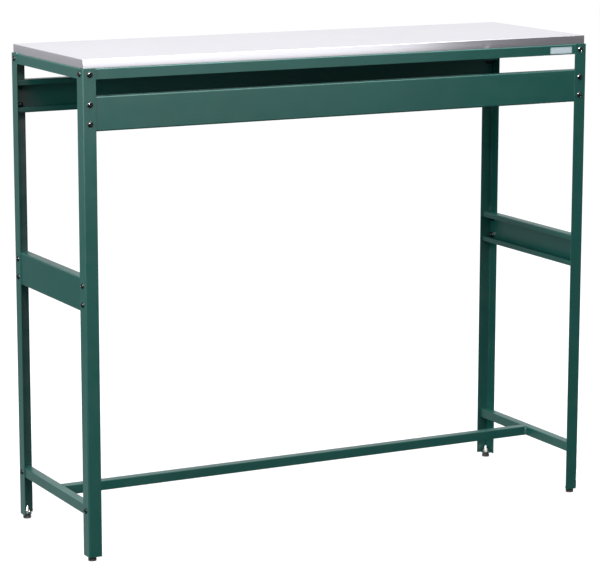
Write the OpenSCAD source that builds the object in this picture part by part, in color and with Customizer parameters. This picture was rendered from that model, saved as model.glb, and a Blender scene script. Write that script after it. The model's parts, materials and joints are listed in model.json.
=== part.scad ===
// Potting bench: a bolted frame of folded sheet steel with a zinc tray worktop.
// Millimetres, +Z up. The origin is on the floor, under the middle of the bench.
// +X runs to the right along the length and +Y runs to the back.

/* [Overall] */
// Width of the frame over the outer faces of the legs
bench_w = 1040; // [700:10:1600]
// Depth of the frame over the outer faces of the legs
bench_d = 335; // [280:5:700]
// Height of the work surface with the feet screwed in
bench_h = 900; // [700:10:1100]

/* [Folded steel] */
// Sheet thickness of the legs, rails and aprons
sheet_t = 1.5; // [1:0.1:3]
// Outer radius of every bend in the frame sheet
bend_r = 2.5; // [2.2:0.1:3.2]
// Width of each leg flange
leg_flange = 25; // [23:1:40]
// Height of the upright face of a top rail
top_rail_h = 19; // [17:1:40]
// Width of the flange of a top rail that the worktop lies on
top_rail_flange = 20; // [18:1:24]
// Height of the aprons and of the side rails
channel_h = 61; // [45:0.5:90]
// Depth of the aprons and of the side rails
channel_d = 20; // [14:1:30]
// Height of the return lips on the aprons and side rails
channel_lip = 10; // [6:1:15]

/* [Positions above the floor] */
// Top edge of the front and rear aprons
apron_top = 835; // [600:1:850]
// Top edge of the left and right side rails
side_rail_top = 514.5; // [300:1:700]
// Top face of the lower bars and the stretcher
lower_bar_top = 101; // [60:1:250]

/* [Lower bars] */
// Side of the square tube
tube_side = 18; // [14:0.5:20]
// Wall of the square tube
tube_wall = 1.2; // [1:0.1:1.4]
// Side of the weld beads that hold the stretcher to the lower bars
weld_side = 3.5; // [2:0.5:6]

/* [Worktop] */
// Height of the folded rim of the tray
rim_h = 16; // [12:0.5:20]
// Distance from the outer face of the frame in to the rim
rim_inset = 3; // [2:0.5:6]
// Sheet thickness of the tray
tray_t = 0.8; // [0.6:0.1:1.2]
// Outer radius of the fold along the top edges of the tray
tray_bend_r = 1.3; // [1.3:0.1:3]
// Width of the lip folded in under the board
tray_lip = 15; // [13:1:17]

/* [Fasteners] */
// Distance from the outer edge of a leg to the middle of its screws
screw_in = 13.5; // [13:0.5:15]
// Distance between the two screws of an apron or side rail
screw_pitch = 34; // [24:1:44]
// Distance from the top of a leg down to its top screw
top_screw_drop = 10; // [10:0.5:12]
// Diameter of a screw head
head_d = 10.5; // [8:0.1:11]
// Height of a screw head
head_h = 3.3; // [2:0.1:4]
// Length of a frame screw under its head
screw_l = 10; // [9:1:10]
// Thickness of a nut
nut_h = 5; // [4:0.5:5]

/* [Feet] */
// Gap between the floor and the bottom of the legs with the feet screwed in
foot_gap = 8; // [6:0.5:20]
// Distance from the outer edges of a leg to the axis of its foot
foot_in = 10; // [9.5:0.5:12]
// Diameter of the foot pad
pad_d = 15; // [12:0.5:15.5]
// Height of the top of the threaded stud above the floor
stud_top = 23; // [22:1:40]
// Thickness of the plate welded into the bottom of each leg
foot_plate_t = 2; // [1.5:0.5:3]
// Side of that plate
foot_plate_side = 16.5; // [16:0.5:22]

/* [Label] */
// Width of the blank label on the front top rail
label_w = 48; // [20:1:80]
// Height of that label
label_h = 12.5; // [8:0.5:13]
// Distance from the right leg's outer face to the middle of the label
label_from_right = 56; // [52:1:120]

/* [Hidden] */

coat = [0.13, 0.31, 0.29];
zinc = [0.78, 0.78, 0.80];
plating = [0.72, 0.70, 0.68];
black = [0.05, 0.05, 0.06];
board_brown = [0.20, 0.16, 0.13];
label_grey = [0.72, 0.78, 0.80];

leg_top = bench_h - rim_h;                  // top of the legs and of the top rails
corner_gap = 0.2;                           // free gap between two rails that meet in a corner
rail_start = 2 * sheet_t + corner_gap;      // where a top rail begins, from the leg's outer face
bend_clear = bend_r + corner_gap;           // clear of the bend inside the corner of a leg
channel_mid_drop = channel_h / 2;           // from the top of a channel to its middle
tube_end_in = sheet_t + tube_side;          // inner face of a lower bar, from the outer face
tube_corner_r = 1.5;                        // outer corner radius of the square tube
stretcher_l = bench_w - 2 * tube_end_in;
tray_w = bench_w - 2 * rim_inset;
tray_d = bench_d - 2 * rim_inset;
board_t = rim_h - 2 * tray_t;               // the board fills the tray down to its lips
board_gap = 0.3;                            // free gap round the edge of the board
worktop_screw_in = 12;                      // from the frame's outer face to a worktop screw
worktop_screw_pitch = bench_w / 3;          // between worktop screws along the front and back
worktop_screw_l = 12;
worktop_shank_r = 1.8;
worktop_pilot_r = 1.85;                     // hole in the board that a worktop screw bites into
worktop_clear_r = 2.2;                      // clearance hole in the rails and the tray lip
pad_top = foot_gap - 0.2;                   // the pad stops just under the foot plate
stud_r = 2.95;                              // M6 stud, turning in a nut of 3.0 mm radius
shank_r = 2.95;                             // M6 screw
nut_bore_r = 3.0;
nut_flats = 10;                             // M6 nut, across its flats
nut_corner_r = nut_flats / 2 / cos(30);
foot_nut_turn = 15;                         // how far a foot nut is turned round its stud
hole_r = 3.2;                               // clearance hole for an M6 screw
through = 1;                                // how far a cutter runs past the face it opens
label_t = 0.3;
$fn = 48;

// ---- placing -------------------------------------------------------------

// Puts a piece drawn for the front left corner at the corner named by the signs sx and sy.
module at_corner(sx, sy) {
    translate([sx * bench_w / 2, sy * bench_d / 2, 0])
        flip_x(sx > 0) flip_y(sy > 0) children();
}

module flip_x(on) {
    if (on) mirror([1, 0, 0]) children();
    else children();
}

module flip_y(on) {
    if (on) mirror([0, 1, 0]) children();
    else children();
}

module at_all_corners() {
    for (sx = [-1, 1])
        for (sy = [-1, 1])
            at_corner(sx, sy) children();
}

// On the front or rear flange of a corner's leg: local +Z points out of the bench.
module on_long_face(z) {
    translate([screw_in, 0, z]) rotate([90, 0, 0]) children();
}

// On the side flange of a corner's leg: local +Z points out of the bench.
module on_end_face(z) {
    translate([0, screw_in, z]) rotate([0, -90, 0]) children();
}

// The two heights of the screws in a channel whose top edge is at z.
function pair(z) = [z - channel_mid_drop + screw_pitch / 2, z - channel_mid_drop - screw_pitch / 2];

apron_screw_z = pair(apron_top);
side_screw_z = pair(side_rail_top);
top_screw_z = leg_top - top_screw_drop;
bar_screw_z = lower_bar_top - tube_side / 2;

// ---- sections ------------------------------------------------------------

// A rectangle with its corner at the origin rounded.
module bent_corner_2d(w, h, r) {
    difference() {
        square([w, h]);
        difference() {
            square([r, r]);
            translate([r, r]) circle(r);
        }
    }
}

module angle_2d(w, h, t, r) {
    difference() {
        bent_corner_2d(w, h, r);
        translate([t, t]) bent_corner_2d(w, h, r - t);
    }
}

module rounded_2d(w, h, r) {
    difference() {
        square([w, h]);
        for (p = [[0, 0, 0], [w, 0, 90], [w, h, 180], [0, h, 270]])
            translate([p[0], p[1]]) rotate(p[2])
                difference() {
                    square([r, r]);
                    translate([r, r]) circle(r);
                }
    }
}

module tube_2d(w, h, t, r) {
    difference() {
        rounded_2d(w, h, r);
        translate([t, t]) rounded_2d(w - 2 * t, h - 2 * t, r - t);
    }
}

// Web on the left, open to the right between the two return lips.
module lipped_channel_2d() {
    difference() {
        tube_2d(channel_d, channel_h, sheet_t, bend_r);
        translate([channel_d - sheet_t - through, channel_lip])
            square([sheet_t + 2 * through, channel_h - 2 * channel_lip]);
    }
}

// ---- fasteners, drawn along Z with the clamped face at z = 0 ---------------

module button_screw() {
    dome_r = 7;
    socket_flats = 4;
    socket_depth = 2;
    difference() {
        union() {
            rotate_extrude()
                intersection() {
                    square([head_d / 2, head_h]);
                    translate([0, head_h - dome_r]) circle(dome_r);
                }
            translate([0, 0, -screw_l]) cylinder(h = screw_l, r = shank_r);
        }
        translate([0, 0, head_h - socket_depth])
            cylinder(h = socket_depth + through, r = socket_flats / 2 / cos(30), $fn = 6);
    }
}

// A nut under a clamped stack of the given thickness.
module nut(stack) {
    translate([0, 0, -stack - nut_h])
        difference() {
            cylinder(h = nut_h, r = nut_corner_r, $fn = 6);
            translate([0, 0, -through]) cylinder(h = nut_h + 2 * through, r = nut_bore_r);
        }
}

module screw_hole() {
    translate([0, 0, -leg_flange / 4]) cylinder(h = leg_flange / 2, r = hole_r);
}

module worktop_screw() {
    pan_r = 4;
    pan_top_r = 3.2;
    pan_h = 2.4;
    cylinder(h = worktop_screw_l, r = worktop_shank_r);
    translate([0, 0, -pan_h]) cylinder(h = pan_h, r1 = pan_top_r, r2 = pan_r);
}

module at_worktop_screws() {
    under = leg_top - sheet_t;
    for (sy = [-1, 1])
        for (i = [-1:1])
            translate([i * worktop_screw_pitch, sy * (bench_d / 2 - worktop_screw_in), under]) children();
    for (sx = [-1, 1])
        translate([sx * (bench_w / 2 - worktop_screw_in), 0, under]) children();
}

module worktop_hole(r) {
    at_worktop_screws() translate([0, 0, -through]) cylinder(h = worktop_screw_l + 2 * through, r = r);
}

// ---- frame ---------------------------------------------------------------

module leg(sx, sy) {
    color(coat) at_corner(sx, sy)
        difference() {
            translate([0, 0, foot_gap])
                linear_extrude(leg_top - foot_gap) angle_2d(leg_flange, leg_flange, sheet_t, bend_r);
            for (z = concat(apron_screw_z, [top_screw_z])) on_long_face(z) screw_hole();
            for (z = concat(side_screw_z, [top_screw_z, bar_screw_z])) on_end_face(z) screw_hole();
        }
}

// Front and rear top rail, running the full length between the side flanges of the legs.
module long_top_rail(sy) {
    rail_l = bench_w - 2 * rail_start;
    color(coat)
        difference() {
            flip_y(sy > 0)
                translate([-rail_l / 2, -bench_d / 2 + sheet_t, leg_top])
                    rotate([90, 0, 90])
                        mirror([0, 1, 0])
                            linear_extrude(rail_l)
                                angle_2d(top_rail_flange, top_rail_h, sheet_t, bend_r);
            for (sx = [-1, 1]) at_corner(sx, sy) on_long_face(top_screw_z) screw_hole();
            worktop_hole(worktop_clear_r);
        }
}

// Left and right top rail. At each end its bend and flange are notched away round the long rail.
module short_top_rail(sx) {
    rail_l = bench_d - 2 * rail_start;
    flange_start = sheet_t + top_rail_flange + corner_gap;
    color(coat)
        difference() {
            flip_x(sx > 0)
                translate([-bench_w / 2 + sheet_t, rail_l / 2, leg_top])
                    rotate([90, 0, 0])
                        mirror([0, 1, 0])
                            linear_extrude(rail_l)
                                angle_2d(top_rail_flange, top_rail_h, sheet_t, bend_r);
            for (sy = [-1, 1])
                at_corner(sx, sy) {
                    translate([2 * sheet_t, 0, leg_top - bend_r])
                        cube([top_rail_flange, flange_start, bend_r + through]);
                    on_end_face(top_screw_z) screw_hole();
                }
            worktop_hole(worktop_clear_r);
        }
}

// Front and rear apron: web outwards, open towards the inside of the bench.
module apron(sy) {
    apron_l = bench_w - 2 * bend_clear;
    color(coat)
        difference() {
            flip_y(sy > 0)
                translate([-apron_l / 2, -bench_d / 2 + sheet_t, apron_top - channel_h])
                    rotate([90, 0, 90]) linear_extrude(apron_l) lipped_channel_2d();
            for (sx = [-1, 1])
                at_corner(sx, sy)
                    for (z = apron_screw_z) on_long_face(z) screw_hole();
        }
}

module side_rail(sx) {
    rail_l = bench_d - 2 * bend_clear;
    color(coat)
        difference() {
            flip_x(sx > 0)
                translate([-bench_w / 2 + sheet_t, rail_l / 2, side_rail_top - channel_h])
                    rotate([90, 0, 0]) linear_extrude(rail_l) lipped_channel_2d();
            for (sy = [-1, 1])
                at_corner(sx, sy)
                    for (z = side_screw_z) on_end_face(z) screw_hole();
        }
}

module lower_bar(sx) {
    bar_l = bench_d - 2 * bend_clear;
    color(coat)
        difference() {
            flip_x(sx > 0)
                translate([-bench_w / 2 + sheet_t, bar_l / 2, lower_bar_top - tube_side])
                    rotate([90, 0, 0])
                        linear_extrude(bar_l) tube_2d(tube_side, tube_side, tube_wall, tube_corner_r);
            for (sy = [-1, 1]) at_corner(sx, sy) on_end_face(bar_screw_z) screw_hole();
        }
}

module stretcher() {
    color(coat)
        translate([-stretcher_l / 2, -tube_side / 2, lower_bar_top - tube_side])
            rotate([90, 0, 90])
                linear_extrude(stretcher_l) tube_2d(tube_side, tube_side, tube_wall, tube_corner_r);
}

// The upright weld beads in the corners between the stretcher and the lower bars.
module stretcher_welds() {
    color(coat)
        for (sx = [-1, 1])
            for (sy = [-1, 1])
                flip_x(sx > 0) flip_y(sy < 0)
                    translate([-stretcher_l / 2, tube_side / 2, lower_bar_top - tube_side + tube_corner_r])
                        linear_extrude(tube_side - 2 * tube_corner_r)
                            polygon([[0, 0], [weld_side, 0], [0, weld_side]]);
}

// ---- worktop -------------------------------------------------------------

// A block whose top edges are folded to radius r, meeting in mitred corners.
module folded_block(w, d, h, r) {
    intersection() {
        translate([-w / 2, d / 2, 0]) rotate([90, 0, 0]) linear_extrude(d) folded_end_2d(w, h, r);
        translate([-w / 2, -d / 2, 0]) rotate([90, 0, 90]) linear_extrude(w) folded_end_2d(d, h, r);
    }
}

module folded_end_2d(w, h, r) {
    difference() {
        square([w, h]);
        for (p = [[w, 180], [0, 270]])
            translate([p[0], h]) rotate(p[1])
                difference() {
                    square([r, r]);
                    translate([r, r]) circle(r);
                }
    }
}

module worktop_tray() {
    mouth_w = tray_w - 2 * tray_lip;
    mouth_d = tray_d - 2 * tray_lip;
    color(zinc)
        difference() {
            translate([0, 0, leg_top]) folded_block(tray_w, tray_d, rim_h, tray_bend_r);
            translate([0, 0, leg_top + tray_t])
                folded_block(tray_w - 2 * tray_t, tray_d - 2 * tray_t, board_t, tray_bend_r - tray_t);
            translate([-mouth_w / 2, -mouth_d / 2, leg_top - through])
                cube([mouth_w, mouth_d, tray_t + 2 * through]);
            worktop_hole(worktop_clear_r);
        }
}

module worktop_board() {
    board_w = tray_w - 2 * (tray_bend_r + board_gap);
    board_d = tray_d - 2 * (tray_bend_r + board_gap);
    color(board_brown)
        difference() {
            translate([-board_w / 2, -board_d / 2, leg_top + tray_t]) cube([board_w, board_d, board_t]);
            worktop_hole(worktop_pilot_r);
        }
}

module worktop_screws() {
    color(plating) at_worktop_screws() worktop_screw();
}

// ---- screws and nuts of the frame ------------------------------------------

module top_rail_screws() {
    color(black) at_all_corners() {
        on_long_face(top_screw_z) button_screw();
        on_end_face(top_screw_z) button_screw();
    }
}

module apron_screws() {
    color(black) at_all_corners() for (z = apron_screw_z) on_long_face(z) button_screw();
}

module side_rail_screws() {
    color(black) at_all_corners() for (z = side_screw_z) on_end_face(z) button_screw();
}

module lower_bar_screws() {
    color(black) at_all_corners() on_end_face(bar_screw_z) button_screw();
}

module top_rail_nuts() {
    color(black) at_all_corners() {
        on_long_face(top_screw_z) nut(2 * sheet_t);
        on_end_face(top_screw_z) nut(2 * sheet_t);
    }
}

module apron_nuts() {
    color(black) at_all_corners() for (z = apron_screw_z) on_long_face(z) nut(2 * sheet_t);
}

module side_rail_nuts() {
    color(black) at_all_corners() for (z = side_screw_z) on_end_face(z) nut(2 * sheet_t);
}

module lower_bar_weld_nuts() {
    color(plating) at_all_corners() on_end_face(bar_screw_z) nut(sheet_t + tube_wall);
}

// ---- feet ----------------------------------------------------------------

module foot_plate(sx, sy) {
    free_corner_r = 6;
    leg_corner_clear = 0.6;
    leg_corner_r = bend_r - sheet_t + leg_corner_clear;
    color(coat) at_corner(sx, sy)
        difference() {
            translate([sheet_t, sheet_t, foot_gap])
                linear_extrude(foot_plate_t)
                    intersection() {
                        bent_corner_2d(foot_plate_side, foot_plate_side, leg_corner_r);
                        translate([foot_plate_side, foot_plate_side])
                            rotate(180) bent_corner_2d(foot_plate_side, foot_plate_side, free_corner_r);
                    }
            translate([foot_in, foot_in, foot_gap - through])
                cylinder(h = foot_plate_t + 2 * through, r = hole_r);
        }
}

module foot_nut(sx, sy) {
    color(plating) at_corner(sx, sy)
        translate([foot_in, foot_in, foot_gap + foot_plate_t + nut_h]) rotate(foot_nut_turn) nut(0);
}

// The stud is moulded into the pad and turns in the nut.
module foot_stud(sx, sy) {
    stud_foot = foot_gap / 2;
    tip = 0.8;
    color(zinc) at_corner(sx, sy)
        translate([foot_in, foot_in, stud_foot])
            rotate_extrude()
                polygon([[0, 0], [stud_r, 0], [stud_r, stud_top - stud_foot - tip],
                         [stud_r - tip, stud_top - stud_foot], [0, stud_top - stud_foot]]);
}

module foot_pad(sx, sy) {
    base_h = 5;
    edge_r = 1;
    hub_taper = 1.5;
    hub_r = pad_d / 2 - hub_taper;
    stud_foot = foot_gap / 2;
    color(black) at_corner(sx, sy)
        translate([foot_in, foot_in, 0])
            difference() {
                rotate_extrude()
                    union() {
                        square([pad_d / 2 - edge_r, base_h]);
                        translate([0, edge_r]) square([pad_d / 2, base_h - edge_r]);
                        translate([pad_d / 2 - edge_r, edge_r]) circle(edge_r);
                        polygon([[0, base_h], [pad_d / 2, base_h], [hub_r, pad_top], [0, pad_top]]);
                    }
                translate([0, 0, stud_foot]) cylinder(h = foot_gap, r = stud_r);
            }
}

// ---- label ---------------------------------------------------------------

module label() {
    face_mid = leg_top - bend_r - (top_rail_h - bend_r) / 2;
    color(label_grey)
        translate([bench_w / 2 - label_from_right - label_w / 2, -bench_d / 2 + sheet_t - label_t,
                   face_mid - label_h / 2])
            cube([label_w, label_t, label_h]);
}

leg(-1, -1);  // leg_front_left
leg(1, -1);  // leg_front_right
leg(-1, 1);  // leg_rear_left
leg(1, 1);  // leg_rear_right
foot_plate(-1, -1);  // foot_plate_front_left
foot_plate(1, -1);  // foot_plate_front_right
foot_plate(-1, 1);  // foot_plate_rear_left
foot_plate(1, 1);  // foot_plate_rear_right
foot_nut(-1, -1);  // foot_nut_front_left
foot_nut(1, -1);  // foot_nut_front_right
foot_nut(-1, 1);  // foot_nut_rear_left
foot_nut(1, 1);  // foot_nut_rear_right
foot_stud(-1, -1);  // foot_stud_front_left
foot_stud(1, -1);  // foot_stud_front_right
foot_stud(-1, 1);  // foot_stud_rear_left
foot_stud(1, 1);  // foot_stud_rear_right
foot_pad(-1, -1);  // foot_pad_front_left
foot_pad(1, -1);  // foot_pad_front_right
foot_pad(-1, 1);  // foot_pad_rear_left
foot_pad(1, 1);  // foot_pad_rear_right
worktop_tray();
worktop_board();
worktop_screws();
long_top_rail(-1);  // top_rail_front
long_top_rail(1);  // top_rail_rear
short_top_rail(-1);  // top_rail_left
short_top_rail(1);  // top_rail_right
apron(-1);  // apron_front
apron(1);  // apron_rear
side_rail(-1);  // side_rail_left
side_rail(1);  // side_rail_right
lower_bar(-1);  // lower_bar_left
lower_bar(1);  // lower_bar_right
stretcher();
stretcher_welds();
top_rail_screws();
apron_screws();
side_rail_screws();
lower_bar_screws();
top_rail_nuts();
apron_nuts();
side_rail_nuts();
lower_bar_weld_nuts();
label();
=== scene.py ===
"""Looks for the potting bench: camera, studio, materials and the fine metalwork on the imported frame."""
import json
import math
import random

import bmesh
import bpy
from mathutils import Matrix, Vector


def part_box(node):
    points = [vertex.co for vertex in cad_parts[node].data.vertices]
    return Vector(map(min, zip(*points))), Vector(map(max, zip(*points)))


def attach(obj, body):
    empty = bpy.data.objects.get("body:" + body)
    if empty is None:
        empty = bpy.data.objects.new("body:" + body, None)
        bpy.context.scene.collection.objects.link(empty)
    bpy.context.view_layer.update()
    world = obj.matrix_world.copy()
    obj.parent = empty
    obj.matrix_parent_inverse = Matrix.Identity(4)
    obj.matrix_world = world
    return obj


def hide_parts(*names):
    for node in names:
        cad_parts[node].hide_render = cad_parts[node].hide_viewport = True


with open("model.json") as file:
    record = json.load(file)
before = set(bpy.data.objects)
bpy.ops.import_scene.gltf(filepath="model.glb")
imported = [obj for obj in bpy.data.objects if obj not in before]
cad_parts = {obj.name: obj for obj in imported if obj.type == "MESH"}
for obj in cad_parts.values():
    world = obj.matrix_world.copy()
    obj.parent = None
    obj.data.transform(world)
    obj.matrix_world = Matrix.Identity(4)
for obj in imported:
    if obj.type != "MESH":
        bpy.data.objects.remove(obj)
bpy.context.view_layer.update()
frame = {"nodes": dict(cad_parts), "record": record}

MM = 0.001
NODES = frame["nodes"]
CORNERS = ("front_left", "front_right", "rear_left", "rear_right")
AXES = (Vector((1, 0, 0)), Vector((0, 1, 0)), Vector((0, 0, 1)))


# ---- camera -----------------------------------------------------------------

EYE = Vector((-2.251, -4.291, 1.349))
TURN_RIGHT = math.radians(27.58)
LOOK_DOWN = math.radians(10.88)
ROLL = math.radians(-0.08)
LENS_MM = 155.3
SENSOR_MM = 36.0


def make_camera():
    data = bpy.data.cameras.new("camera")
    data.sensor_width = SENSOR_MM
    data.lens = LENS_MM
    data.clip_end = 200.0
    camera = bpy.data.objects.new("camera", data)
    camera.location = EYE
    camera.rotation_euler = (math.pi / 2 - LOOK_DOWN, ROLL, -TURN_RIGHT)
    bpy.context.scene.collection.objects.link(camera)
    bpy.context.scene.camera = camera


# ---- studio -----------------------------------------------------------------

SKY = 0.84                                      # radiance of the room above the horizon
DIM, DIM_DEEP = 0.01, 0.15                      # radiance just below it, and further down
BACK_LEFT_LOW, BACK_LEFT_DEEP = 0.38, 0.60      # the same, low down behind on the left
BACK_LEFT = (-0.46, 0.89, 0.0)                  # the way to that part of the room
BACK_LEFT_EDGE = (0.55, 0.9)                    # cosines from it between which that part begins
BACK_LEFT_FALL = (-0.17, -0.30)                 # heights between which its low value turns into its deep one
DIM_FALL = (-0.12, -0.28)                       # the same for the rest of the room
HORIZON = (-0.05, 0.02)                         # heights between which the part below turns into sky
ROOM_TINT = (0.985, 0.99, 1.0, 1.0)
WORKTOP, MIDDLE = (0.0, 0.0, 0.9), (0.0, 0.0, 0.5)      # where the two softboxes point


def make_world():
    """A pale room: bright above the horizon, dim below it, and lit again low down behind on the left.

    Heights are the Z of a direction, which is the sine of its angle above the horizon.
    """
    world = bpy.data.worlds.new("studio")
    world.use_nodes = True
    nt = world.node_tree
    background = nt.nodes["Background"]
    coords = nt.nodes.new("ShaderNodeTexCoord")
    split = nt.nodes.new("ShaderNodeSeparateXYZ")
    nt.links.new(coords.outputs["Generated"], split.inputs[0])

    def remap(value, low, high, to_low, to_high):
        node = nt.nodes.new("ShaderNodeMapRange")
        node.interpolation_type = "SMOOTHSTEP"
        ends = (("From Min", low), ("From Max", high), ("To Min", to_low), ("To Max", to_high))
        for socket, number in ends:
            node.inputs[socket].default_value = number
        nt.links.new(value, node.inputs["Value"])
        return node.outputs["Result"]

    def blend(factor, first, second):
        node = nt.nodes.new("ShaderNodeMix")
        factor_socket, first_socket, second_socket = node.inputs[0], node.inputs[2], node.inputs[3]
        for socket, value in ((factor_socket, factor), (first_socket, first), (second_socket, second)):
            if isinstance(value, float):
                socket.default_value = value
            else:
                nt.links.new(value, socket)
        return node.outputs[0]

    towards = nt.nodes.new("ShaderNodeVectorMath")
    towards.operation = "DOT_PRODUCT"
    towards.inputs[1].default_value = BACK_LEFT
    nt.links.new(coords.outputs["Generated"], towards.inputs[0])
    height = split.outputs["Z"]
    behind_left = remap(towards.outputs["Value"], *BACK_LEFT_EDGE, 0.0, 1.0)
    behind = remap(height, *BACK_LEFT_FALL, BACK_LEFT_LOW, BACK_LEFT_DEEP)
    elsewhere = remap(height, *DIM_FALL, DIM, DIM_DEEP)
    below = blend(behind_left, elsewhere, behind)
    above = remap(height, *HORIZON, 0.0, 1.0)
    nt.links.new(blend(above, below, SKY), background.inputs["Strength"])
    background.inputs["Color"].default_value = ROOM_TINT
    bpy.context.scene.world = world
    bpy.context.scene.view_settings.view_transform = "Standard"


def area_light(name, location, target, size, watts):
    """A white softbox that the camera doesn't see."""
    data = bpy.data.lights.new(name, "AREA")
    data.shape = "RECTANGLE"
    data.size, data.size_y = size
    data.energy = watts
    light = bpy.data.objects.new(name, data)
    light.location = location
    light.rotation_euler = (Vector(target) - Vector(location)).to_track_quat("-Z", "Y").to_euler()
    light.visible_camera = False
    bpy.context.scene.collection.objects.link(light)


def make_floor():
    """A pale studio floor with an even glow of its own, so that only soft contact shadows show."""
    bpy.ops.mesh.primitive_plane_add(size=80.0, location=(0, 0, 0))
    floor = bpy.context.object
    floor.name = "floor"
    floor.visible_diffuse = False
    floor.visible_glossy = False
    material = bpy.data.materials.new("pale_floor")
    material.use_nodes = True
    shader = material.node_tree.nodes["Principled BSDF"]
    shader.inputs["Base Color"].default_value = (0.30, 0.30, 0.30, 1.0)
    shader.inputs["Roughness"].default_value = 0.9
    shader.inputs["Specular IOR Level"].default_value = 0.0
    shader.inputs["Emission Color"].default_value = (1.0, 1.0, 1.0, 1.0)
    shader.inputs["Emission Strength"].default_value = 0.75
    floor.data.materials.append(material)


def reflector(name, centre, size, radiance, soft_x, soft_z):
    """An upright card that only reflections see. It fades out at one side and at its top or bottom.

    soft_x and soft_z are the parts of its width and height that fade: at the right and at the top when
    they are positive, at the left and at the bottom when they are negative.
    """
    bpy.ops.mesh.primitive_plane_add(size=1.0, location=centre, rotation=(math.pi / 2, 0, 0))
    card = bpy.context.object
    card.name = name
    card.scale = (size[0], size[1], 1.0)
    card.visible_camera = False
    card.visible_diffuse = False
    card.visible_shadow = False
    card.visible_transmission = False
    material = bpy.data.materials.new(name)
    material.use_nodes = True
    nt = material.node_tree
    nt.nodes.clear()
    coords = nt.nodes.new("ShaderNodeTexCoord")
    split = nt.nodes.new("ShaderNodeSeparateXYZ")
    nt.links.new(coords.outputs["Generated"], split.inputs[0])
    both = nt.nodes.new("ShaderNodeMath")
    both.operation = "MULTIPLY"
    for slot, (axis, soft) in enumerate((("X", soft_x), ("Y", soft_z))):
        ramp = nt.nodes.new("ShaderNodeMapRange")
        ramp.interpolation_type = "SMOOTHSTEP"
        ramp.inputs["From Min"].default_value = 1.0 if soft > 0 else 0.0
        ramp.inputs["From Max"].default_value = 1.0 - soft if soft > 0 else -soft
        nt.links.new(split.outputs[axis], ramp.inputs["Value"])
        nt.links.new(ramp.outputs["Result"], both.inputs[slot])
    mix = nt.nodes.new("ShaderNodeMixShader")
    clear = nt.nodes.new("ShaderNodeBsdfTransparent")
    glow = nt.nodes.new("ShaderNodeEmission")
    glow.inputs["Strength"].default_value = radiance
    out = nt.nodes.new("ShaderNodeOutputMaterial")
    nt.links.new(both.outputs[0], mix.inputs["Fac"])
    nt.links.new(clear.outputs[0], mix.inputs[1])
    nt.links.new(glow.outputs[0], mix.inputs[2])
    nt.links.new(mix.outputs[0], out.inputs["Surface"])
    card.data.materials.append(material)


def make_studio():
    make_world()
    make_floor()
    area_light("overhead_softbox", (0.1, -0.5, 3.0), WORKTOP, (3.0, 1.6), 148)
    area_light("left_softbox", (-3.0, -1.0, 1.5), MIDDLE, (1.6, 2.0), 79)
    # A card's name, centre, (width, height), radiance, soft_x and soft_z.
    reflector("front_left_card", (-0.61, -1.3, 0.95), (2.99, 0.90), 1.22, 0.022, -0.18)
    reflector("front_right_card", (1.7, -1.31, 0.92), (1.8, 0.96), 0.13, 0.05, -0.22)
    reflector("back_left_flag", (-1.36, 1.5, 0.15), (0.62, 0.75), 0.05, 0.25, 0.3)
    # Painted shade: a dark card just in front of the bench under the apron, seen only in reflections, that
    # darkens what the parts inside the frame reflect.
    reflector("under_apron_shade_card", (0.02, -0.25, 0.44), (0.84, 0.63), 0.02, 0.04, 0.02)
    reflector("upper_left_catchlight", (-1.5, -1.9, 2.4), (0.75, 0.75), 800.0, 0.1, 0.1)
    reflector("low_right_catchlight", (2.1, -1.0, -0.7), (0.45, 0.45), 600.0, 0.1, 0.1)


# ---- material tools ---------------------------------------------------------

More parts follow.
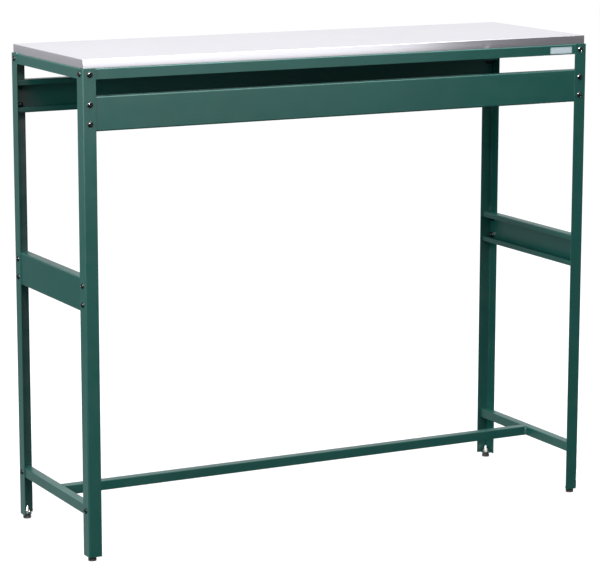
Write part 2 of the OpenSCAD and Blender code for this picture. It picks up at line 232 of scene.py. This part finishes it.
class Look:
    """A material with one Principled shader, and short calls for the nodes that feed it.

    Keyword arguments of Look are shader inputs, with an underscore for each space.
    """

    def __init__(self, name, colour, roughness, **fixed):
        self.material = bpy.data.materials.new(name)
        self.material.use_nodes = True
        self.nt = self.material.node_tree
        self.shader = self.nt.nodes["Principled BSDF"]
        self.set("Base Color", (*colour, 1.0))
        self.set("Roughness", roughness)
        for socket, value in fixed.items():
            self.set(socket.replace("_", " "), value)
        self.coords = self.nt.nodes.new("ShaderNodeTexCoord").outputs["Object"]

    def set(self, socket, value):
        self.shader.inputs[socket].default_value = value

    def link(self, output, target):
        self.nt.links.new(output, target)

    def stretched(self, scale):
        """Object coordinates multiplied by scale, to draw a texture out along one axis."""
        node = self.nt.nodes.new("ShaderNodeMapping")
        node.inputs["Scale"].default_value = scale
        self.link(self.coords, node.inputs["Vector"])
        return node.outputs["Vector"]

    def noise(self, cells_per_m, detail=3.0, roughness=0.5, vector=None):
        node = self.nt.nodes.new("ShaderNodeTexNoise")
        node.inputs["Scale"].default_value = cells_per_m
        node.inputs["Detail"].default_value = detail
        node.inputs["Roughness"].default_value = roughness
        self.link(vector or self.coords, node.inputs["Vector"])
        return node.outputs["Fac"]

    def cells(self, cells_per_m, output="Distance", vector=None):
        node = self.nt.nodes.new("ShaderNodeTexVoronoi")
        node.inputs["Scale"].default_value = cells_per_m
        self.link(vector or self.coords, node.inputs["Vector"])
        return node.outputs[output]

    def remap(self, value, low, high, to_low=0.0, to_high=1.0):
        node = self.nt.nodes.new("ShaderNodeMapRange")
        node.inputs["From Min"].default_value = low
        node.inputs["From Max"].default_value = high
        node.inputs["To Min"].default_value = to_low
        node.inputs["To Max"].default_value = to_high
        self.link(value, node.inputs["Value"])
        return node.outputs["Result"]

    def mix(self, factor, first, second):
        """Blend of two colours. Each is a tuple or the output of a node."""
        node = self.nt.nodes.new("ShaderNodeMix")
        node.data_type = "RGBA"
        factor_socket, first_socket, second_socket = node.inputs[0], node.inputs[6], node.inputs[7]
        self.link(factor, factor_socket)
        for socket, value in ((first_socket, first), (second_socket, second)):
            if isinstance(value, tuple):
                socket.default_value = (*value, 1.0)
            else:
                self.link(value, socket)
        colour_output = node.outputs[2]
        return colour_output

    def math(self, operation, first, second):
        node = self.nt.nodes.new("ShaderNodeMath")
        node.operation = operation
        for socket, value in zip(node.inputs, (first, second)):
            if isinstance(value, (int, float)):
                socket.default_value = value
            else:
                self.link(value, socket)
        return node.outputs[0]

    def edges(self, radius):
        """0 on flat stretches, rising to 1 along a sharp edge."""
        bevel = self.nt.nodes.new("ShaderNodeBevel")
        bevel.samples = 4
        bevel.inputs["Radius"].default_value = radius
        plain = self.nt.nodes.new("ShaderNodeNewGeometry")
        dot = self.nt.nodes.new("ShaderNodeVectorMath")
        dot.operation = "DOT_PRODUCT"
        self.link(bevel.outputs["Normal"], dot.inputs[0])
        self.link(plain.outputs["Normal"], dot.inputs[1])
        return self.remap(dot.outputs["Value"], 0.995, 0.8)

    def bump(self, heights, soften=0.0):
        """heights is a list of (height output, strength, metres). Sharp edges get the radius soften."""
        normal = None
        if soften:
            bevel = self.nt.nodes.new("ShaderNodeBevel")
            bevel.samples = 6
            bevel.inputs["Radius"].default_value = soften
            normal = bevel.outputs["Normal"]
        for height, strength, metres in heights:
            node = self.nt.nodes.new("ShaderNodeBump")
            node.inputs["Strength"].default_value = strength
            node.inputs["Distance"].default_value = metres
            self.link(height, node.inputs["Height"])
            if normal:
                self.link(normal, node.inputs["Normal"])
            normal = node.outputs["Normal"]
        self.link(normal, self.shader.inputs["Normal"])

    def feed(self, socket, output):
        self.link(output, self.shader.inputs[socket])


# ---- materials --------------------------------------------------------------

def green_coat(name, tone, gloss):
    """Satin powder coat: fine orange peel, slight clouding, thinner and lighter on cut edges.

    tone darkens the coat when it is below 1, and gloss is its specular level.
    """
    def shade(red, green, blue):
        return (red * tone, green * tone, blue * tone)
    look = Look(name, shade(0.0014, 0.066, 0.0545), 0.34, Specular_IOR_Level=gloss)
    clouds = look.noise(6.0, 2.0)
    speckle = look.noise(900.0, 2.0)
    cloud_dark, cloud_light = shade(0.0013, 0.063, 0.052), shade(0.0017, 0.069, 0.057)
    base = look.mix(look.remap(clouds, 0.35, 0.65), cloud_dark, cloud_light)
    base = look.mix(look.remap(speckle, 0.5, 0.8, 0.0, 0.30), base, shade(0.003, 0.081, 0.069))
    base = look.mix(look.math("MULTIPLY", look.edges(0.7 * MM), 0.25), base, shade(0.016, 0.12, 0.105))
    look.feed("Base Color", base)
    look.feed("Roughness", look.remap(look.noise(35.0, 4.0), 0.3, 0.7, 0.30, 0.37))
    peel = look.noise(420.0, 2.0, 0.4)
    grit = look.noise(2600.0, 1.0)
    look.bump([(peel, 0.20, 0.03 * MM), (grit, 0.10, 0.01 * MM)], soften=0.35 * MM)
    return look.material


def zinc_sheet():
    """Bright rolled sheet: fine lines along its length, faint clouding and a few soft scuffs."""
    look = Look("rolled_zinc_sheet", (0.80, 0.80, 0.83), 0.22, Metallic=1.0)
    along = look.stretched((1.0, 60.0, 60.0))
    grain = look.noise(20.0, 5.0, 0.65, vector=along)
    fine = look.noise(60.0, 3.0, 0.6, vector=along)
    clouds = look.noise(4.0, 3.0)
    tone = look.mix(look.remap(clouds, 0.35, 0.65), (0.79, 0.78, 0.84), (0.82, 0.81, 0.865))
    tone = look.mix(look.remap(grain, 0.45, 0.75, 0.0, 0.18), tone, (0.73, 0.73, 0.765))
    look.feed("Base Color", tone)
    rough = look.remap(grain, 0.3, 0.7, 0.18, 0.26)
    scuff = look.remap(look.noise(14.0, 6.0, 0.7), 0.62, 0.78, 0.0, 0.06)
    look.feed("Roughness", look.math("ADD", rough, scuff))
    look.bump([(fine, 0.06, 0.01 * MM)], soften=0.15 * MM)
    return look.material


def plated(name, low, high, roughness):
    """Zinc plating: cloudy colour from the passivation, fine tumbling marks."""
    look = Look(name, low, roughness, Metallic=1.0)
    look.feed("Base Color", look.mix(look.remap(look.noise(240.0, 3.0), 0.35, 0.65), low, high))
    marks = look.noise(700.0, 3.0)
    look.feed("Roughness", look.remap(marks, 0.3, 0.7, roughness - 0.08, roughness + 0.10))
    look.bump([(look.noise(2200.0, 2.0), 0.15, 0.02 * MM)], soften=0.12 * MM)
    return look.material


def black_gloss():
    """Black lacquered screw: glossy, with worn corners."""
    look = Look("black_screw_lacquer", (0.003, 0.0035, 0.004), 0.14, Specular_IOR_Level=0.28)
    wear = look.math("MULTIPLY", look.edges(0.25 * MM), look.remap(look.noise(900.0, 3.0), 0.5, 0.7))
    look.feed("Base Color", look.mix(wear, (0.003, 0.0035, 0.004), (0.03, 0.03, 0.032)))
    look.feed("Roughness", look.remap(look.noise(800.0, 3.0), 0.3, 0.7, 0.11, 0.20))
    look.bump([(look.noise(3000.0, 2.0), 0.08, 0.01 * MM)], soften=0.15 * MM)
    return look.material


def black_plastic():
    """Moulded foot: matte, lightly spark-eroded."""
    look = Look("black_moulded_plastic", (0.012, 0.012, 0.013), 0.5)
    mottle = look.remap(look.noise(120.0, 3.0), 0.4, 0.7)
    look.feed("Base Color", look.mix(mottle, (0.010, 0.010, 0.011), (0.022, 0.022, 0.023)))
    look.feed("Roughness", look.remap(look.noise(500.0, 2.0), 0.3, 0.7, 0.42, 0.60))
    look.bump([(look.noise(2600.0, 3.0), 0.35, 0.03 * MM)], soften=0.2 * MM)
    return look.material


def particle_board():
    """Dark board seen from below: pressed flakes of several browns."""
    look = Look("particle_board", (0.035, 0.025, 0.018), 0.8, Specular_IOR_Level=0.2)
    flakes = look.stretched((1.0, 1.6, 1.0))
    grey = look.nt.nodes.new("ShaderNodeRGBToBW")
    look.link(look.cells(230.0, "Color", vector=flakes), grey.inputs[0])
    base = look.mix(look.remap(grey.outputs[0], 0.2, 0.8), (0.024, 0.017, 0.012), (0.055, 0.041, 0.030))
    base = look.mix(look.remap(look.noise(420.0, 4.0), 0.55, 0.8, 0.0, 0.6), base, (0.014, 0.010, 0.008))
    look.feed("Base Color", base)
    edges = look.cells(230.0, vector=flakes)
    dust = look.noise(900.0, 3.0)
    look.bump([(edges, 0.3, 0.10 * MM), (dust, 0.3, 0.06 * MM)])
    return look.material


def label_film():
    """Blank satin film: pale silver blue with a faint grain."""
    look = Look("blank_label_film", (0.46, 0.55, 0.60), 0.38, Specular_IOR_Level=0.5)
    grain = look.noise(300.0, 3.0, vector=look.stretched((1.0, 1.0, 12.0)))
    look.feed("Base Color", look.mix(look.remap(grain, 0.3, 0.7), (0.43, 0.52, 0.57), (0.50, 0.59, 0.63)))
    look.feed("Roughness", look.remap(look.noise(160.0, 2.0), 0.3, 0.7, 0.33, 0.44))
    look.bump([(look.noise(1200.0, 2.0), 0.10, 0.02 * MM)])
    return look.material


def label_border():
    """The printed line round the blank label."""
    look = Look("label_border_ink", (0.05, 0.12, 0.14), 0.42)
    ink = look.remap(look.noise(900.0, 2.0), 0.4, 0.7)
    look.feed("Base Color", look.mix(ink, (0.045, 0.11, 0.13), (0.07, 0.15, 0.165)))
    look.bump([(look.noise(1500.0, 2.0), 0.10, 0.02 * MM)])
    return look.material


def make_materials():
    return {
        "green_coat": green_coat("green_powder_coat", 1.0, 0.5),
        # Painted shade: a darker, less shiny copy of the green coat for parts that stand in shade inside the
        # frame.
        "green_coat_painted_shade": green_coat("green_powder_coat_painted_shade", 0.9, 0.33),
        "zinc_sheet": zinc_sheet(),
        "zinc_plating": plated("zinc_plating", (0.60, 0.47, 0.48), (0.66, 0.58, 0.52), 0.30),
        "stud_steel": plated("bright_zinc_thread", (0.72, 0.72, 0.74), (0.80, 0.80, 0.80), 0.24),
        "black_screw": black_gloss(),
        "black_plastic": black_plastic(),
        "board": particle_board(),
        "label_film": label_film(),
        "label_border": label_border(),
    }


# These stand in shade inside the frame and carry a darker, less shiny copy of the green coat: painted shade.
PAINTED_SHADE_NODES = ("side_rail_left", "side_rail_right", "apron_rear")


def dress_cad_nodes(looks):
    """Gives every CAD node the material of its slot in the record, or the painted-shade copy of the green
    coat.
    """
    slot_of = {row["node"]: row["material_slot"] for row in frame["record"]["subparts"]}
    for name, node in NODES.items():
        look = slot_of[name]
        # Painted shade: these parts get the darker copy in place of the coat of their slot.
        if name in PAINTED_SHADE_NODES:
            look = "green_coat_painted_shade"
        node.data.materials.clear()
        node.data.materials.append(looks[look])


# ---- mesh tools -------------------------------------------------------------

def solid_boxes(node):
    """(lowest corner, highest corner) of each separate solid in a CAD node."""
    bm = bmesh.new()
    bm.from_mesh(NODES[node].data)
    bmesh.ops.remove_doubles(bm, verts=bm.verts, dist=0.001 * MM)
    seen = set()
    boxes = []
    for start in bm.verts:
        if start in seen:
            continue
        seen.add(start)
        stack = [start]
        island = []
        while stack:
            vert = stack.pop()
            island.append(vert.co)
            for edge in vert.link_edges:
                other = edge.other_vert(vert)
                if other not in seen:
                    seen.add(other)
                    stack.append(other)
        boxes.append((Vector([min(c[i] for c in island) for i in range(3)]),
                      Vector([max(c[i] for c in island) for i in range(3)])))
    bm.free()
    return boxes


def outward(box, pick):
    """Unit vector out of the bench along the box's shortest (pick=min) or longest (pick=max) side."""
    size = box[1] - box[0]
    axis = pick(range(3), key=lambda i: size[i])
    middle = (box[0] + box[1]) / 2
    return AXES[axis] * (1 if middle[axis] > 0 else -1)


def upright(origin, direction):
    """Matrix that turns +Z to direction and moves the origin there."""
    return Matrix.Translation(origin) @ direction.to_track_quat("Z", "Y").to_matrix().to_4x4()


def add_rings(bm, rings, matrix, cap_start=True, cap_end=True):
    """Skins consecutive rings of equal length with quads, and closes the ends that are asked for."""
    rows = [[bm.verts.new(matrix @ Vector(p)) for p in points] for points in rings]
    count = len(rows[0])
    for low, high in zip(rows, rows[1:]):
        for i in range(count):
            j = (i + 1) % count
            bm.faces.new((low[i], low[j], high[j], high[i]))
    for row, wanted, flip in ((rows[0], cap_start, True), (rows[-1], cap_end, False)):
        if wanted:
            middle = bm.verts.new(sum((v.co for v in row), Vector()) / count)
            for i in range(count):
                j = (i + 1) % count
                bm.faces.new((row[j], row[i], middle) if flip else (row[i], row[j], middle))


def ring(z, radius, count):
    """Points round +Z at height z. radius is a number, or a function of the angle."""
    points = []
    for i in range(count):
        angle = 2 * math.pi * i / count
        r = radius(angle) if callable(radius) else radius
        points.append((r * math.cos(angle), r * math.sin(angle), z))
    return points


def hexagon(across_flats):
    """Radius of a hexagon as a function of the angle."""
    step = math.pi / 3
    return lambda angle: across_flats / 2 / math.cos(angle % step - step / 2)


def finish_mesh(name, bm, materials, smooth_angle=35.0):
    """Turns a bmesh into an object. Edges sharper than smooth_angle degrees stay sharp."""
    bmesh.ops.recalc_face_normals(bm, faces=bm.faces)
    mesh = bpy.data.meshes.new(name)
    bm.to_mesh(mesh)
    bm.free()
    piece = bpy.data.objects.new(name, mesh)
    bpy.context.scene.collection.objects.link(piece)
    for material in materials:
        mesh.materials.append(material)
    mesh.shade_smooth()
    mesh.set_sharp_from_angle(angle=math.radians(smooth_angle))
    return piece


# ---- screws, nuts and feet ----------------------------------------------------

THREAD_PITCH = 1.0 * MM
THREAD_DEPTH = 0.42 * MM
THREAD_STEPS = 6            # rings drawn per turn of a thread
SHANK_R = 2.95 * MM         # outside of an M6 thread
AROUND = 48                 # points round a turned shape
NUT_TURN = 15               # degrees that a foot's nut is turned by


def threaded_rings(z_from, z_to, outer_r, chamfer):
    """Rings of a screw thread from z_from to z_to, with its last stretch turned down to a chamfer."""
    steps = int(abs(z_to - z_from) / THREAD_PITCH * THREAD_STEPS)
    rings = []
    for k in range(steps + 1):
        z = z_from + (z_to - z_from) * k / steps
        end = max(0.0, chamfer - abs(z_to - z))

        def radius(angle, z=z, end=end):
            phase = (z / THREAD_PITCH + angle / (2 * math.pi)) % 1.0
            ridge = abs(2 * phase - 1)
            return outer_r - THREAD_DEPTH * min(1.0, ridge * 1.25) - end
        rings.append(ring(z, radius, AROUND))
    return rings


def add_button_screw(bm, matrix, length):
    """Drawn along Z: the top of the head at z = 0, the shank down to -length."""
    head_r, head_h = 5.25 * MM, 3.3 * MM
    socket, socket_depth = hexagon(4 * MM), 2.0 * MM
    mouth_r, flat_r = 2.25 * MM, 2.5 * MM           # countersink of the socket, and the flat ring round it
    dome_r, dome_stretch, dome_steps = 7.0 * MM, 1.18, 8
    rim, rim_steps, chamfer = 0.35 * MM, 3, 0.2 * MM
    thread_length = 3.5 * MM

    def sag(r):
        """Depth of a sphere's surface below its top, at radius r."""
        return dome_r - math.sqrt(dome_r ** 2 - r ** 2)
    # The socket from its drilled bottom up to the flat ring, then the dome, the rim and the shank.
    rings = [
        ring(-socket_depth - 0.5 * MM, 0.2 * MM, AROUND),
        ring(-socket_depth, lambda a: socket(a) * 0.96, AROUND),
        ring(-0.30 * MM, socket, AROUND),
        ring(-0.04 * MM, lambda a: max(socket(a), mouth_r), AROUND),
        ring(0.0, flat_r, AROUND),
    ]
    for k in range(1, dome_steps + 1):
        r = flat_r + (head_r - rim - flat_r) * k / dome_steps
        drop = sag(r) - sag(flat_r)
        rings.append(ring(-drop * dome_stretch, r, AROUND))
    z_rim = rings[-1][0][2]
    for k in range(1, rim_steps + 1):
        turn = math.pi / 2 * k / rim_steps
        z = z_rim - rim * (1 - math.cos(turn)) - 0.1 * MM
        rings.append(ring(z, head_r - rim + rim * math.sin(turn), AROUND))
    rings.append(ring(-head_h + chamfer, head_r, AROUND))
    rings.append(ring(-head_h, head_r - chamfer, AROUND))
    rings.append(ring(-head_h, SHANK_R, AROUND))
    thread_from = -length + thread_length
    rings.append(ring(thread_from, SHANK_R, AROUND))
    rings += threaded_rings(thread_from, -length, SHANK_R, 0.6 * MM)[1:]
    add_rings(bm, rings, matrix)


def add_nut(bm, matrix, height):
    """Hexagon nut standing on z = 0, chamfered on both faces, with a countersunk bore."""
    flats = 10 * MM
    shape = hexagon(flats)
    bore_r, countersink = 3.05 * MM, 0.5 * MM
    face_r = flats / 2 * 0.97
    corner_r = flats / 2 / math.cos(math.pi / 6)
    shoulder_r = face_r + (corner_r - face_r) * 0.55
    chamfer = 0.6 * MM
    shoulder = chamfer * 0.35

    def cut(limit):
        """The hexagon with its corners cut off by a circle."""
        return lambda a: min(shape(a), limit)
    outside = [
        ring(0.0, cut(face_r), AROUND),
        ring(shoulder, cut(shoulder_r), AROUND),
        ring(chamfer, shape, AROUND),
        ring(height - chamfer, shape, AROUND),
        ring(height - shoulder, cut(shoulder_r), AROUND),
        ring(height, cut(face_r), AROUND),
    ]
    inside = [
        ring(height, bore_r + countersink, AROUND),
        ring(height - countersink, bore_r, AROUND),
        ring(countersink, bore_r, AROUND),
        ring(0.0, bore_r + countersink, AROUND),
    ]
    rings = outside + inside
    rings.append(rings[0])
    add_rings(bm, rings, matrix, cap_start=False, cap_end=False)
    bmesh.ops.remove_doubles(bm, verts=bm.verts, dist=0.0005 * MM)


def make_screws(looks):
    for group in ("top_rail_screws", "apron_screws", "side_rail_screws", "lower_bar_screws"):
        bm = bmesh.new()
        for box in solid_boxes(group):
            out = outward(box, max)
            size = box[1] - box[0]
            middle = (box[0] + box[1]) / 2
            length = max(size)
            add_button_screw(bm, upright(middle + out * length / 2, out), length)
        piece = finish_mesh(group + "_turned", bm, [looks["black_screw"]])
        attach(piece, "frame")
        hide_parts(group)


def make_nuts(looks):
    for group in ("top_rail_nuts", "apron_nuts", "side_rail_nuts"):
        bm = bmesh.new()
        for box in solid_boxes(group):
            out = outward(box, min)
            height = min(box[1] - box[0])
            middle = (box[0] + box[1]) / 2
            add_nut(bm, upright(middle - out * height / 2, out), height)
        piece = finish_mesh(group + "_turned", bm, [looks["black_screw"]])
        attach(piece, "frame")
        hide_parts(group)


def make_feet(looks):
    for corner in CORNERS:
        body = "foot_" + corner
        stud_lo, stud_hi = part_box("foot_stud_" + corner)
        pad_lo, pad_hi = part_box("foot_pad_" + corner)
        nut_lo, nut_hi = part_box("foot_nut_" + corner)
        middle = (pad_lo + pad_hi) / 2

        bm = bmesh.new()
        add_foot_stud(bm, Matrix.Translation((middle.x, middle.y, 0.0)), stud_lo.z, stud_hi.z)
        piece = finish_mesh("foot_thread_" + corner, bm, [looks["stud_steel"]])
        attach(piece, body)
        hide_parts("foot_stud_" + corner)

        bm = bmesh.new()
        radius = (pad_hi.x - pad_lo.x) / 2
        add_foot_pad(bm, Matrix.Translation((middle.x, middle.y, 0.0)), radius, pad_hi.z)
        piece = finish_mesh("foot_moulding_" + corner, bm, [looks["black_plastic"]])
        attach(piece, body)
        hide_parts("foot_pad_" + corner)

        bm = bmesh.new()
        turn = Matrix.Rotation(math.radians(NUT_TURN), 4, "Z")
        add_nut(bm, Matrix.Translation((middle.x, middle.y, nut_lo.z)) @ turn, nut_hi.z - nut_lo.z)
        piece = finish_mesh("foot_locknut_" + corner, bm, [looks["zinc_plating"]])
        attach(piece, "frame")
        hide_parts("foot_nut_" + corner)


def add_foot_stud(bm, matrix, z_low, z_high):
    """Threaded M6 stud with a chamfered tip, its root buried in the pad."""
    root = ring(z_low, SHANK_R - THREAD_DEPTH, AROUND)
    add_rings(bm, [root] + threaded_rings(z_low + 0.2 * MM, z_high, SHANK_R, 0.8 * MM), matrix)


def add_foot_pad(bm, matrix, radius, height):
    """Moulded round foot: scalloped grip, rounded sole and a raised hub under the thread."""
    grips, grip_depth = 16, 0.35 * MM
    count = grips * 6
    edge, edge_steps = 1.0 * MM, 4
    hub_r, stud_r = radius - 1.6 * MM, 2.9 * MM

    def grip(angle):
        return radius - grip_depth * (0.5 - 0.5 * math.cos(grips * angle)) ** 2
    sole = [ring(0.0, radius * 0.55, count), ring(0.0, radius - edge, count)]
    for k in range(1, edge_steps + 1):
        turn = math.pi / 2 * k / edge_steps
        sole.append(ring(edge * (1 - math.cos(turn)), radius - edge + edge * math.sin(turn), count))
    side = [
        ring(1.3 * MM, grip, count),
        ring(4.4 * MM, grip, count),
        ring(4.8 * MM, radius - 0.05 * MM, count),
        ring(5.2 * MM, radius - 0.45 * MM, count),
    ]
    hub = [
        ring(5.5 * MM, hub_r + 0.2 * MM, count),
        ring(height - 0.3 * MM, hub_r, count),
        ring(height, hub_r - 0.3 * MM, count),
        ring(height, stud_r, count),
    ]
    add_rings(bm, sole + side + hub, matrix)


# ---- welds ----------------------------------------------------------------------

def make_welds(looks):
    """Rippled fillet beads in the upright corners between the stretcher and the lower bars."""
    bm = bmesh.new()
    across, along = 10, 44                      # steps across a bead and along it
    sink = 0.3 * MM                             # how far its root reaches into the tubes
    ripples, ripple_h = 9, 0.10 * MM
    swell, droop = 0.16, 0.25 * MM              # roundness of the face, and how far its ends are pulled in
    for lo, hi in solid_boxes("stretcher_welds"):
        side_x = 1 if lo.x > 0 else -1
        side_y = 1 if lo.y > 0 else -1
        corner = Vector((hi.x if side_x > 0 else lo.x, lo.y if side_y > 0 else hi.y, 0.0))
        width = hi.x - lo.x
        rings = []
        for k in range(along + 1):
            t = k / along
            z = lo.z + (hi.z - lo.z) * t
            ripple = ripple_h * math.sin(2 * math.pi * t * ripples)
            taper = min(1.0, 0.55 + 5.0 * min(t, 1 - t))
            reach = width * taper - 0.12 * MM + ripple
            points = [(corner.x + side_x * sink, corner.y - side_y * sink, z)]
            for i in range(across + 1):
                turn = math.pi / 2 * i / across
                flat = reach / (math.cos(turn) + math.sin(turn))
                bulge = flat * (1 + swell * math.sin(2 * turn))
                x = corner.x - side_x * bulge * math.cos(turn)
                y = corner.y + side_y * bulge * math.sin(turn)
                points.append((x, y, z + droop * math.sin(2 * turn) * (1 - 2 * t)))
            rings.append(points)
        add_rings(bm, rings, Matrix.Identity(4))
    piece = finish_mesh("stretcher_weld_beads", bm, [looks["green_coat"]], smooth_angle=50.0)
    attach(piece, "frame")
    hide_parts("stretcher_welds")


# ---- worktop ------------------------------------------------------------------

def make_tray(looks):
    """The folded zinc tray: one sheet with closed corners, tight folds and a lip turned in below."""
    lo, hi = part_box("worktop_tray")
    half_x, half_y = (hi.x - lo.x) / 2, (hi.y - lo.y) / 2
    thick, fold, inner = 0.8 * MM, 0.6 * MM, 0.15 * MM      # sheet, and radii of a fold outside and inside
    bend = thick + inner                                    # from the outside to the middle of an inner fold
    lip, corner = 15 * MM, 0.4 * MM                         # width of the lip, and cut at each corner
    cells_x, cells_y = 48, 16
    calm_edge, calm_width = 6 * MM, 30 * MM                 # flat border, and the width over which waves grow
    wave_h = 0.02 * MM
    wobble = random.Random(7)
    waves = [(wobble.uniform(3, 9), wobble.uniform(4, 12), wobble.uniform(0, 6.28)) for _ in range(6)]

    def dish(x, y):
        """Slight unevenness of the thin sheet, dying out towards its folded edges."""
        edge = min(half_x - abs(x), half_y - abs(y))
        amount = min(1.0, max(0.0, (edge - calm_edge) / calm_width))
        return -wave_h * amount * (3 + sum(math.sin(a * x + b * y + c) for a, b, c in waves))

    def loop(inset, z):
        """Points round the tray, inset from its outside, with each corner cut off a little."""
        hx, hy = half_x - inset, half_y - inset
        points = []
        sides = (((-1, -1), (1, -1), cells_x), ((1, -1), (1, 1), cells_y),
                 ((1, 1), (-1, 1), cells_x), ((-1, 1), (-1, -1), cells_y))
        for (ax, ay), (bx, by), cells in sides:
            start, end = Vector((ax * hx, ay * hy, z)), Vector((bx * hx, by * hy, z))
            along = (end - start).normalized()
            start, end = start + along * corner, end - along * corner
            for k in range(cells + 1):
                points.append(start.lerp(end, k / cells))
        return points

    def arc(inset_mid, z_mid, radius, first, last, steps):
        """Loops along a fold: the angle is 0 at the outside and 90 degrees at the top."""
        rings = []
        for k in range(steps + 1):
            turn = math.radians(first + (last - first) * k / steps)
            rings.append(loop(inset_mid - radius * math.cos(turn), z_mid + radius * math.sin(turn)))
        return rings

    bm = bmesh.new()
    outside = arc(fold, hi.z - fold, fold, 90, 0, 6) + arc(fold, lo.z + fold, fold, 0, -90, 5)
    hem = [loop(lip, lo.z), loop(lip, lo.z + thick)]
    inside = arc(bend, lo.z + bend, inner, -90, 0, 4) + arc(bend, hi.z - bend, inner, 0, 90, 4)
    add_rings(bm, outside + hem + inside, Matrix.Identity(4), cap_start=False, cap_end=False)
    for z, inset, up in ((hi.z, fold, True), (hi.z - thick, bend, False)):
        fill_sheet(bm, loop(inset, z), cells_x, cells_y, z, up, dish)
    bmesh.ops.remove_doubles(bm, verts=bm.verts, dist=0.001 * MM)
    piece = finish_mesh("worktop_tray_sheet", bm, [looks["zinc_sheet"]], smooth_angle=40.0)
    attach(piece, "frame")
    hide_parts("worktop_tray")


def fill_sheet(bm, border, cells_x, cells_y, z, up, dish):
    """Fills the rectangle inside a tray loop with a grid that follows dish(), facing up or down."""
    bottom = border[: cells_x + 1]
    right = border[cells_x + 1: cells_x + cells_y + 2]
    top = border[cells_x + cells_y + 2: 2 * cells_x + cells_y + 3][::-1]
    left = border[2 * cells_x + cells_y + 3:][::-1]
    xs = [p.x for p in bottom]
    ys = [p.y for p in right]
    rows = [[bm.verts.new((x, y, z + dish(x, y))) for x in xs] for y in ys]

    def face(*verts):
        bm.faces.new(verts if up else verts[::-1])
    for low, high in zip(rows, rows[1:]):
        for i in range(cells_x):
            face(low[i], low[i + 1], high[i + 1], high[i])
    bottom_edge = [bm.verts.new(p) for p in bottom]
    top_edge = [bm.verts.new(p) for p in top]
    for low, high in ((bottom_edge, rows[0]), (rows[-1], top_edge)):
        for i in range(cells_x):
            face(low[i], low[i + 1], high[i + 1], high[i])
    left_row = [row[0] for row in rows]
    right_row = [row[-1] for row in rows]
    left_edge = [bm.verts.new(p) for p in left]
    right_edge = [bm.verts.new(p) for p in right]
    for near, far in ((left_edge, left_row), (right_row, right_edge)):
        for i in range(cells_y):
            face(near[i], far[i], far[i + 1], near[i + 1])
    face(bottom_edge[0], left_row[0], left_edge[0])
    face(bottom_edge[-1], right_edge[0], right_row[0])
    face(right_row[-1], right_edge[-1], top_edge[-1])
    face(left_edge[-1], left_row[-1], top_edge[0])


def make_label(looks):
    """Blank label: rounded film with a printed border just inside its edge."""
    lo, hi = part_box("label")
    middle = (lo + hi) / 2
    half_w, half_h = (hi.x - lo.x) / 2, (hi.z - lo.z) / 2
    front, back = lo.y, hi.y
    corner_r, edge = 1.5 * MM, 0.08 * MM                    # corner radius, and chamfer round the film
    border_from, border_to, field_from = 0.9 * MM, 1.3 * MM, 2.0 * MM

    def outline(inset, y):
        """Points round the label, inset from its edge, with a quarter circle at each corner."""
        points = []
        for sx, sz, first in ((1, 1, 0), (-1, 1, 90), (-1, -1, 180), (1, -1, 270)):
            for k in range(7):
                turn = math.radians(first + 15 * k)
                r = corner_r - min(inset, corner_r * 0.6)
                cx, cz = half_w - inset - r, half_h - inset - r
                x = middle.x + sx * cx + r * math.cos(turn)
                z = middle.z + sz * cz + r * math.sin(turn)
                points.append((x, y, z))
        return points
    bm = bmesh.new()
    rings = [outline(0.0, back), outline(0.0, front + edge), outline(edge, front)]
    rings += [outline(inset, front) for inset in (border_from, border_to, field_from)]
    add_rings(bm, rings, Matrix.Identity(4))
    piece = finish_mesh("blank_label", bm, [looks["label_film"], looks["label_border"]])
    count = len(rings[0])
    border_band = 3
    for polygon in piece.data.polygons[border_band * count: (border_band + 1) * count]:
        polygon.material_index = 1
    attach(piece, "frame")
    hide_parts("label")


# ---- the scene ------------------------------------------------------------------

make_camera()
make_studio()
looks = make_materials()
dress_cad_nodes(looks)
make_screws(looks)
make_nuts(looks)
make_feet(looks)
make_welds(looks)
make_tray(looks)
make_label(looks)
